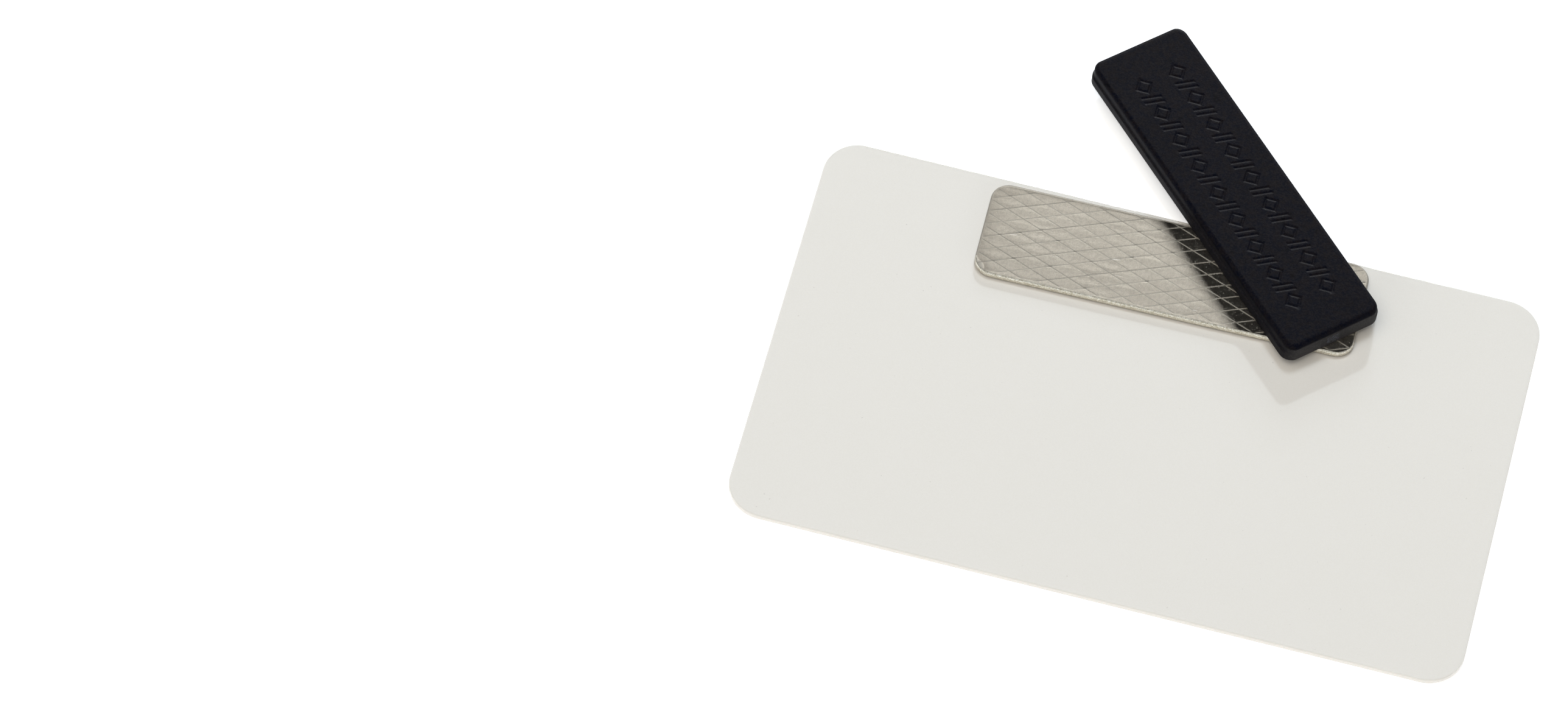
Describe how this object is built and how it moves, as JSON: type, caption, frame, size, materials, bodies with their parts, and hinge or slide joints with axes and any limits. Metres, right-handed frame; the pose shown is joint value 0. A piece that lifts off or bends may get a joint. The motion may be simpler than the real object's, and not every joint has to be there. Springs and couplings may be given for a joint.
{
  "type": "magnetic name badge",
  "caption": "Magnetic name badge lying face down: thin white plastic card, scored steel plate taped to its back, and a black magnet bar clinging across the plate.",
  "frame": {"origin": "centre of the card's front face, which rests on the surface", "axes": "+Z out of the card's back, +X along the card's long side, +Y towards the edge that the magnet bar overhangs"},
  "size_m": [0.0856, 0.0769, 0.0045],
  "materials": {
    "card": "glossy off-white",
    "tape": "matt brownish foam tape edge",
    "steel": "warm nickel plating with fine scored diamonds",
    "housing": "matt black moulding with shallow pressed marks",
    "magnet": "plain nickel plating"
  },
  "bodies": {
    "badge": {"badge_card": "card", "adhesive_tape": "tape", "steel_plate": "steel"},
    "magnet_bar": {"bar_housing": "housing", "magnet_disc_1": "magnet", "magnet_disc_2": "magnet", "magnet_disc_3": "magnet"}
  },
  "joints": [
    {"name": "magnet_lift", "type": "slide", "parent": "badge", "child": "magnet_bar", "axis": [0, 0, 1], "range_m": [0, 0.03]}
  ]
}
